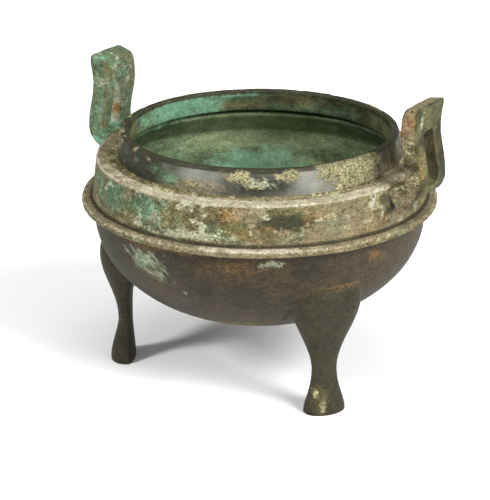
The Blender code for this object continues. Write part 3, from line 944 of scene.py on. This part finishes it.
# %% Scratches, dirt and shade, wear and highlight
fields["scratches"] = most(
    spots(on_bowl, (-41, 97, 12, 6, -0.20), (-36, 88, 10, 6, -0.50), (4, 101, 9, 2.5, -0.40)),
    spot(-54, 20, 3, 12, on_leg, -0.35),
    spot(0, 144.5, 13, 3.5, on_neck, -0.30),
)
outer_edge = on_ear & (np.abs(y) > EAR_WIDTH / 2 - 0.0015)
collar_foot_shade = bump_of(z - FLANGE_TOP_Z - 0.0002, 0.0006) * bump_of(radius - COLLAR_FOOT_RADIUS, 0.0016)
ear_corner = np.maximum(bump_of(nx + 0.62, 0.40), bump_of(ny - 0.62, 0.40))
fields["dirt_and_shade"] = most(
    only(on_ear & (z > EAR_TOP_Z - 0.006), bend * 3.0 - 0.7),
    # Painted shade in the recess beside the right ear's arm, with a dark middle in the crust patch there.
    spots(on_collar, (50, 128, 9, 6, 0.1), (46, 130, 5, 4), (56, 132, 8, 8, -0.1)),
    spot(176, 146, 26, 8, inside, -0.50),
    only(outer_edge & (nx * np.sign(x) > 0.3), -0.1),
    # Painted shade: creases of the collar and the flange are darkened.
    only(on_collar | on_flange, -bend * 5.0 - 0.6),
    # Painted shade: a dark line where the collar meets the flange.
    only(~on_ear, collar_foot_shade * 1.7 - 0.9),
    only(lip_top, -0.1),
    drifting(right_ear_back, 0.007, 91, -0.25),
    # Painted shade: the walls of the right ear's slot, which lie in shadow, are darkened.
    only(right_slot_wall, 0.1),
    only(left_ear & (np.abs(y) > SLOT_HALF_WIDTH + 0.003), 1.7 * ear_corner - 0.8),
    # Painted shadow: the neck behind the right ear is darkened where the ear shades it.
    spot(63, 147, 9, 12, on_neck, -0.1),
    spots(right_ear_side, (51, 152, 4, 5, -0.45), (50, 150, 5, 3, -0.35)),
    spots(on_bowl | on_leg, (12, 66, 2.5, 4, -0.3), (11, 60, 2, 3, -0.3)),
)
# Wear and painted highlight: upward edges and the outer ledge are painted pale, partly as real wear and
# partly as a highlight of the lamps.
upper_edge_wear_and_highlight = only(nz > 0.2, bend * 2.4 - 0.50)
ledge_edge = on_ledge | on_collar & (z > LEDGE_Z - 0.002)
fields["wear_and_highlight"] = most(
    only(ledge_edge, upper_edge_wear_and_highlight - 0.6 * bump_of(azimuth - 54, 14)),
    only(on_flange, upper_edge_wear_and_highlight - 0.25 - 0.5 * bump_of(azimuth - 55, 30)),
    spot(-20, LEDGE_Z * 1000, 60, 4, on_ledge & (radius > 0.0912), 0.25),
    spot(16, LEDGE_Z * 1000, 60, 4, on_ledge & (radius > 0.0900), 0.0),
    spot(-2, FLANGE_TOP_Z * 1000, 34, 5, on_flange & (nz > 0.5), -0.3),
)
tell("scratches", "dirt_and_shade", "wear_and_highlight")

# %% [markdown]
# Last corrections
#
# One dark patch on the collar is kept clear of what would cover it, and the lip stays dark. A calm field
# makes the grain weaker in the hollow, on the left ear and on the right of the collar.

# %% Dark patch, lip and calm
dark_patch = np.clip(spot(9, 126, 13, 5.5, on_collar, -0.1), 0, 1)
for title in ("dust", "crust", "cream", "rust", "verdigris", "moss_and_painted_light"):
    fields[title] = fields[title] - 1.3 * dark_patch
for title in ("mint", "verdigris", "moss_and_painted_light", "cream"):
    fields[title] = np.where(lip_top, np.minimum(fields[title], -0.45), fields[title])
fields["calm"] = np.where(inside, 0.6, np.where(left_ear, 0.4, 0.0))
fields["calm"] = np.where(on_collar, 0.4 * ease((azimuth - 5) / 20), fields["calm"])
tell("calm")

# %% Give the fields to the mesh
# A field ends at -1. There it drops to a lower value, so that noise in the material never lifts it up.
FAR_AWAY = -3.0
for title, field in fields.items():
    layer = joined.attributes.new(title, "FLOAT", "POINT")
    layer.data.foreach_set("value", np.where(field < -0.98, FAR_AWAY, field).astype(np.float32))
print("the mesh carries", len(fields), "fields")

# %% [markdown]
# Relief
#
# Crusts stand proud of the metal, pits sink into it, the flange and the lip are nicked and worn, and the
# casting itself is a little uneven. Each point moves along its normal by the sum of these. Soles stay
# flat, so that the vessel stands as the solid does.

# %% Move the points
CRUST_RISE = 0.00055
PIT_DEPTH = 0.00035
UNEVEN = 0.00022
NICK_DEPTH = 0.0009
crusted = np.clip(fields["crust"] * 2 + 0.4 + rough_noise(points, 0.004, 91), 0, 1)
lumpy = 0.6 + 0.6 * rough_noise(points, 0.0035, 92)
pits = np.clip(rough_noise(points, 0.0032, 93) - 0.22, 0, 1) * 2.2
nicks = np.clip(rough_noise(points, 0.010, 94) - 0.25, 0, 1) * (on_flange | (np.abs(z - RIM_Z) < 0.0015))
move = UNEVEN * rough_noise(points, 0.018, 95, 3)
move += CRUST_RISE * crusted * lumpy
move -= PIT_DEPTH * pits * np.where(on_bowl | on_leg, 0.35, 1.0) * np.where(inside, 0.5, 1.0)
move -= NICK_DEPTH * nicks
move *= np.clip((z - 0.0004) / 0.0030, 0, 1)
points += normals * move[:, None]
joined.vertices.foreach_set("co", points.ravel())
joined.update()
joined.shade_smooth()
joined.set_sharp_from_angle(angle=math.radians(50))
print("points moved by", round(float(move.min()) * 1000, 2), "to", round(float(move.max()) * 1000, 2), "mm")

# %% [markdown]
# The patina as a material
#
# A conservator would describe the surface as layers: brown metal, then earth, olive and umber, the smooth
# grey skin with its painted highlight, black with painted shade under the flange and the lip, the greens
# with pale moss painted as light on the shaded shoulder, rust and orange stains, pale dust, wear with
# painted highlight, crust, cream specks, scratches and dirt with painted shade. The material lays them on
# in that order. Each layer's field is broken up by the same shared noises, which gives ragged edges and
# keeps the grain fine wherever you look.

# %% Node helpers
LYING_FLAT = 1.5


class Patina:
    """Builds one node tree step by step."""

    def __init__(self, name):
        self.material = bpy.data.materials.new(name)
        self.material.use_nodes = True
        self.tree = self.material.node_tree
        self.shader = self.tree.nodes["Principled BSDF"]
        flat = self.tree.nodes.new("ShaderNodeMapping")
        flat.inputs["Scale"].default_value = (1.0, 1.0, LYING_FLAT)
        place = self.tree.nodes.new("ShaderNodeTexCoord").outputs["Object"]
        self.tree.links.new(place, flat.inputs["Vector"])
        self.place = flat.outputs["Vector"]

    def socket(self, target, value):
        """Links a socket to another one, or sets its plain value."""
        if isinstance(value, bpy.types.NodeSocket):
            self.tree.links.new(value, target)
        else:
            target.default_value = value

    def node(self, kind, values=None, **settings):
        """Adds a node, sets its properties, and links or sets the sockets named or numbered in values."""
        made = self.tree.nodes.new("ShaderNode" + kind)
        for key, setting in settings.items():
            setattr(made, key, setting)
        for key, value in (values or {}).items():
            self.socket(made.inputs[key], value)
        return made

    def noise(self, scale, detail, rough, seed, place=None):
        """Noise texture on Object coordinates; the seed shifts it along its own fourth dimension."""
        values = {"Vector": place or self.place, "W": seed, "Scale": scale, "Detail": detail,
                  "Roughness": rough}
        return self.node("TexNoise", values, noise_dimensions="4D").outputs["Fac"]

    def math(self, operation, a, b=0.0, c=0.0):
        """One Math node."""
        return self.node("Math", {0: a, 1: b, 2: c}, operation=operation).outputs[0]

    def stretched(self, direction, times):
        """Object coordinates squeezed along one direction, so that noise on them runs in streaks that way:
        place - direction * (place . direction) * (1 - 1 / times)."""
        along = self.node("VectorMath", {0: self.place, 1: direction}, operation="DOT_PRODUCT")
        values = {0: direction * (1 / times - 1), 1: along.outputs["Value"], 2: self.place}
        return self.node("VectorMath", values, operation="MULTIPLY_ADD").outputs[0]

    def scaled(self, tone, factor):
        """A colour times a number."""
        return self.node("VectorMath", {0: tone, "Scale": factor}, operation="SCALE").outputs[0]

    def step(self, value, low, high):
        """Smooth step from 0 at low to 1 at high."""
        values = {"Value": value, "From Min": low, "From Max": high}
        return self.node("MapRange", values, interpolation_type="SMOOTHSTEP").outputs["Result"]

    def blend(self, share, a, b, kind="RGBA"):
        """Mix node for colours or numbers."""
        first = {"FLOAT": 2, "RGBA": 6}[kind]
        made = self.node("Mix", {}, data_type=kind)
        for number, value in ((0, share), (first, a), (first + 1, b)):
            self.socket(made.inputs[number], value)
        return made.outputs[{"FLOAT": 0, "RGBA": 2}[kind]]

    def field(self, name):
        """A field that the mesh carries."""
        return self.node("Attribute", attribute_name=name).outputs["Fac"]


print("lying flat, the noises are", LYING_FLAT, "times finer upwards")

# %% Colours of the finishes


def colour(red, green, blue):
    """A colour in linear light with full opacity."""
    return (red, green, blue, 1.0)


BROWN_DARK = colour(0.016, 0.013, 0.008)
BROWN_LIGHT = colour(0.033, 0.028, 0.020)
LAYERS = {
    # dark and light colour, softness of edge, share of noise, strength, roughness, height, grit, gloss
    "earth": ((0.052, 0.045, 0.019), (0.145, 0.122, 0.054), 0.40, 1.0, 1.0, 0.85, 0.7, 1.0, 0.2),
    "olive": ((0.048, 0.055, 0.021), (0.140, 0.148, 0.062), 0.50, 1.0, 0.9, 0.85, 0.4, 0.8, 0.2),
    "umber": ((0.030, 0.021, 0.010), (0.072, 0.052, 0.027), 0.80, 1.5, 0.65, 0.62, 0.2, 0.5, 0.2),
    "satin": ((0.045, 0.046, 0.037), (0.078, 0.079, 0.066), 0.50, 0.5, 1.0, 0.42, 0.0, 0.15, 0.5),
    # the sheen layer is a painted highlight of the lamps on the smooth neck
    "painted_highlight": ((0.155, 0.158, 0.134), (0.215, 0.218, 0.192), 0.70, 0.4, 0.9, 0.40, 0.0, 0.10, 0.5),
    "black": ((0.009, 0.010, 0.005), (0.030, 0.032, 0.017), 0.50, 1.0, 0.9, 0.62, 0.2, 0.4, 0.2),
    "verdigris": ((0.040, 0.080, 0.044), (0.114, 0.192, 0.108), 0.55, 1.3, 0.8, 0.88, 0.5, 0.8, 0.2),
    # the moss colours are pale so that they also paint light onto the shaded shoulder inside the mouth
    "moss_and_painted_light": ((0.170, 0.205, 0.105), (0.360, 0.420, 0.235), 0.60, 0.8, 0.95, 0.88, 0.4, 0.5, 0.2),
    "mint": ((0.095, 0.220, 0.140), (0.205, 0.420, 0.285), 0.45, 1.3, 0.8, 0.90, 0.5, 0.5, 0.2),
    "rust": ((0.085, 0.046, 0.018), (0.240, 0.130, 0.046), 0.70, 1.2, 0.52, 0.88, 0.5, 0.9, 0.2),
    "orange": ((0.140, 0.070, 0.020), (0.340, 0.185, 0.062), 0.60, 1.0, 0.85, 0.90, 0.6, 0.9, 0.2),
    "dust": ((0.103, 0.086, 0.048), (0.248, 0.208, 0.125), 0.50, 1.3, 0.80, 0.95, 0.5, 0.7, 0.2),
    # the worn layer is partly wear and partly a painted highlight on upward edges
    "wear_and_highlight": ((0.205, 0.182, 0.122), (0.440, 0.405, 0.295), 0.50, 1.4, 0.85, 0.90, 0.4, 0.5, 0.2),
    "crust": ((0.096, 0.088, 0.042), (0.320, 0.295, 0.165), 0.20, 1.5, 1.0, 0.95, 1.0, 1.1, 0.2),
    "cream": ((0.160, 0.162, 0.102), (0.430, 0.440, 0.305), 0.35, 2.0, 0.78, 0.92, 0.8, 0.8, 0.2),
    "scratches": ((0.100, 0.120, 0.072), (0.340, 0.360, 0.270), 0.35, 1.7, 0.75, 0.92, 0.5, 0.6, 0.2),
    # the dirt layer also paints shade into creases, recesses and the right ear's slot
    "dirt_and_shade": ((0.016, 0.014, 0.007), (0.040, 0.035, 0.018), 0.40, 0.8, 0.8, 0.85, 0.2, 0.6, 0.2),
}
print(len(LAYERS), "finishes, from", next(iter(LAYERS)), "to", list(LAYERS)[-1])

# %% Shared noises
patina = Patina("bronze_patina")
broad = patina.noise(38.0, 4.0, 0.55, 1.0)
patchy = patina.noise(150.0, 5.0, 0.60, 2.0)
grain = patina.noise(430.0, 4.0, 0.65, 3.0)
speck = patina.noise(900.0, 3.0, 0.70, 4.0)
ragged = patina.math("ADD", patina.math("MULTIPLY", patchy, 0.55), patina.math("MULTIPLY", grain, 0.45))
ragged = patina.math("SUBTRACT", ragged, 0.5)
calm = patina.field("calm")
ragged = patina.math("MULTIPLY", ragged, patina.math("MULTIPLY_ADD", calm, -0.45, 1.0))
mottle = patina.math("ADD", patina.math("MULTIPLY", patchy, 0.45), patina.math("MULTIPLY", grain, 0.55))
mottle = patina.step(mottle, 0.34, 0.66)
cloudy = patina.step(patina.noise(90.0, 3.0, 0.50, 7.0), 0.30, 0.70)
mottle = patina.blend(calm, mottle, cloudy, "FLOAT")
STREAK_TURN = VIEW_AZIMUTH + math.radians(-40)
streak_way = Vector((-math.sin(STREAK_TURN), math.cos(STREAK_TURN), -1.1)).normalized()
streaks = patina.noise(420.0, 4.0, 0.60, 8.0, patina.stretched(streak_way, 5.0))
streaks = patina.math("SUBTRACT", streaks, 0.5)
pits = patina.step(patina.noise(520.0, 2.0, 0.55, 5.0), 0.55, 0.68)
flecks = patina.step(patina.noise(760.0, 2.0, 0.60, 6.0), 0.58, 0.70)
fine = patina.math("SUBTRACT", patina.step(speck, 0.34, 0.66), 0.5)
swing = patina.math("MULTIPLY_ADD", pits, -0.66, fine)
swing = patina.math("MULTIPLY_ADD", flecks, 0.85, swing)
print("the noises take", len(patina.tree.nodes), "nodes")

# %% Lay the finishes on
STRETCH_OF_NOISE = 2.4
cloud = patina.math("ADD", patina.math("MULTIPLY", broad, 0.7), patina.math("MULTIPLY", mottle, 0.3))
tone = patina.blend(patina.step(cloud, 0.25, 0.75), BROWN_DARK, BROWN_LIGHT)
rough = 0.55
grit = 0.24
gloss = 0.20
height = patina.math("MULTIPLY", grain, 0.15)
for name, (dark, light, soft, share, strength, dull, rise, gritty, glossy) in LAYERS.items():
    breakup = streaks if name == "scratches" else ragged
    broken = patina.math("MULTIPLY_ADD", breakup, share * STRETCH_OF_NOISE, patina.field(name))
    mask = patina.math("MULTIPLY", patina.step(broken, -soft, soft), strength)
    tone = patina.blend(mask, tone, patina.blend(mottle, colour(*dark), colour(*light)))
    rough = patina.blend(mask, rough, dull, "FLOAT")
    grit = patina.blend(mask, grit, gritty, "FLOAT")
    gloss = patina.blend(mask, gloss, glossy, "FLOAT")
    lumps = patina.math("MULTIPLY", patina.math("ADD", grain, speck), rise * 0.6)
    height = patina.blend(mask, height, lumps, "FLOAT")
print("with its finishes the patina has", len(patina.tree.nodes), "nodes")

# %% Connect the shader
BUMP_STRENGTH = 0.9
BUMP_DISTANCE = 0.0007
grit = patina.math("MULTIPLY", grit, patina.math("MULTIPLY_ADD", calm, -0.5, 1.0))
tone = patina.scaled(tone, patina.math("MULTIPLY_ADD", swing, grit, 1.0))
height = patina.math("MULTIPLY_ADD", patina.math("MULTIPLY", pits, grit), -0.35, height)
bump = patina.node("Bump", {"Strength": BUMP_STRENGTH, "Distance": BUMP_DISTANCE, "Height": height})
for key, value in {
    "Base Color": tone, "Roughness": rough, "Metallic": 0.0, "Specular Tint": colour(1.0, 0.93, 0.80),
    "Specular IOR Level": gloss, "Normal": bump.outputs["Normal"],
}.items():
    patina.socket(patina.shader.inputs[key], value)
joined.materials.clear()
joined.materials.append(patina.material)
print("the patina has", len(patina.tree.nodes), "nodes")

# %% Join the frame
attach(casting, "root")
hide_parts("ding_vessel")
print(casting.name, "rides on root and replaces ding_vessel")

# %% [markdown]
# Floor, light and camera
#
# The vessel stands on a plain white sheet under soft studio light. A small lamp at the front left draws
# crisp shadows of the legs, a large one at the front right gives most of the light, a weak one overhead
# fills the bowl, and the surround is white. The camera has a long lens and looks down on the vessel by
# about twenty degrees.

# %% Floor
FLOOR_SIZE = 6.0
floor_mesh = bpy.data.meshes.new("floor")
half = FLOOR_SIZE / 2
corners = [(-half, -half, 0), (half, -half, 0), (half, half, 0), (-half, half, 0)]
floor_mesh.from_pydata(corners, [], [(0, 1, 2, 3)])
floor = bpy.data.objects.new("floor", floor_mesh)
bpy.context.scene.collection.objects.link(floor)
paper = bpy.data.materials.new("white_sheet")
paper.use_nodes = True
sheet = paper.node_tree.nodes["Principled BSDF"].inputs
sheet["Base Color"].default_value = colour(0.92, 0.92, 0.92)
sheet["Roughness"].default_value = 0.95
sheet["Specular IOR Level"].default_value = 0.1
floor_mesh.materials.append(paper)
print("the sheet is", FLOOR_SIZE, "m wide")

# %% Lights
SURROUND_STRENGTH = 0.31
world = bpy.data.worlds.new("studio")
bpy.context.scene.world = world
world.use_nodes = True
surround = world.node_tree.nodes["Background"].inputs
surround["Color"].default_value = colour(1.0, 1.0, 1.0)
surround["Strength"].default_value = SURROUND_STRENGTH
AIM = Vector((0.0, 0.0, 0.08))


def lamp(name, right_of_view, elevation, distance, size, watts):
    """A square area light, placed by its azimuth to the viewer's right and its elevation, both in
    degrees, and turned so that it faces the vessel."""
    turn = VIEW_AZIMUTH + math.radians(right_of_view)
    rise = math.radians(elevation)
    level = math.cos(rise)
    place = AIM + distance * Vector((math.cos(turn) * level, math.sin(turn) * level, math.sin(rise)))
    data = bpy.data.lights.new(name, "AREA")
    data.size = size
    data.energy = watts
    thing = bpy.data.objects.new(name, data)
    bpy.context.scene.collection.objects.link(thing)
    facing = (place - AIM).to_track_quat("Z", "Y")
    thing.matrix_world = Matrix.Translation(place) @ facing.to_matrix().to_4x4()


lamp("left_softbox", -56, 38, 4.0, 0.75, 108.0)
lamp("right_softbox", 49, 35, 4.0, 1.90, 245.0)
lamp("top_softbox", 0, 86, 3.4, 2.4, 42.0)
print(len(bpy.data.lights), "lamps")

# %% Camera
CAMERA_DISTANCE = 1.2255
CAMERA_HEIGHT = 0.5304
CAMERA_YAW = math.radians(-0.42)
CAMERA_PITCH = math.radians(20.46)
CAMERA_ROLL = math.radians(0.12)
CAMERA_LENS = 153.05
SENSOR_WIDTH = 36.0


def view_matrix():
    """The camera's place and turn: it stands at the view azimuth, looks at the axis, then yaws, pitches
    down and rolls by small measured angles."""
    level = math.cos(CAMERA_PITCH)
    ahead = Vector((math.sin(CAMERA_YAW) * level, math.cos(CAMERA_YAW) * level, -math.sin(CAMERA_PITCH)))
    right = Vector((math.cos(CAMERA_YAW), -math.sin(CAMERA_YAW), 0.0))
    down = ahead.cross(right)
    rolled_right = math.cos(CAMERA_ROLL) * right + math.sin(CAMERA_ROLL) * down
    rolled_down = -math.sin(CAMERA_ROLL) * right + math.cos(CAMERA_ROLL) * down
    facing = Matrix((rolled_right, -rolled_down, -ahead)).transposed().to_4x4()
    stand = Matrix.Translation((0.0, -CAMERA_DISTANCE, CAMERA_HEIGHT))
    return Matrix.Rotation(VIEW_AZIMUTH + math.pi / 2, 4, "Z") @ stand @ facing


camera_data = bpy.data.cameras.new("camera")
camera_data.lens = CAMERA_LENS
camera_data.sensor_width = SENSOR_WIDTH
camera_data.clip_end = 20.0
camera = bpy.data.objects.new("camera", camera_data)
bpy.context.scene.collection.objects.link(camera)
camera.matrix_world = view_matrix()
bpy.context.scene.camera = camera
bpy.context.scene.view_settings.view_transform = "Standard"
print("the camera stands at", [round(value, 3) for value in camera.matrix_world.translation])
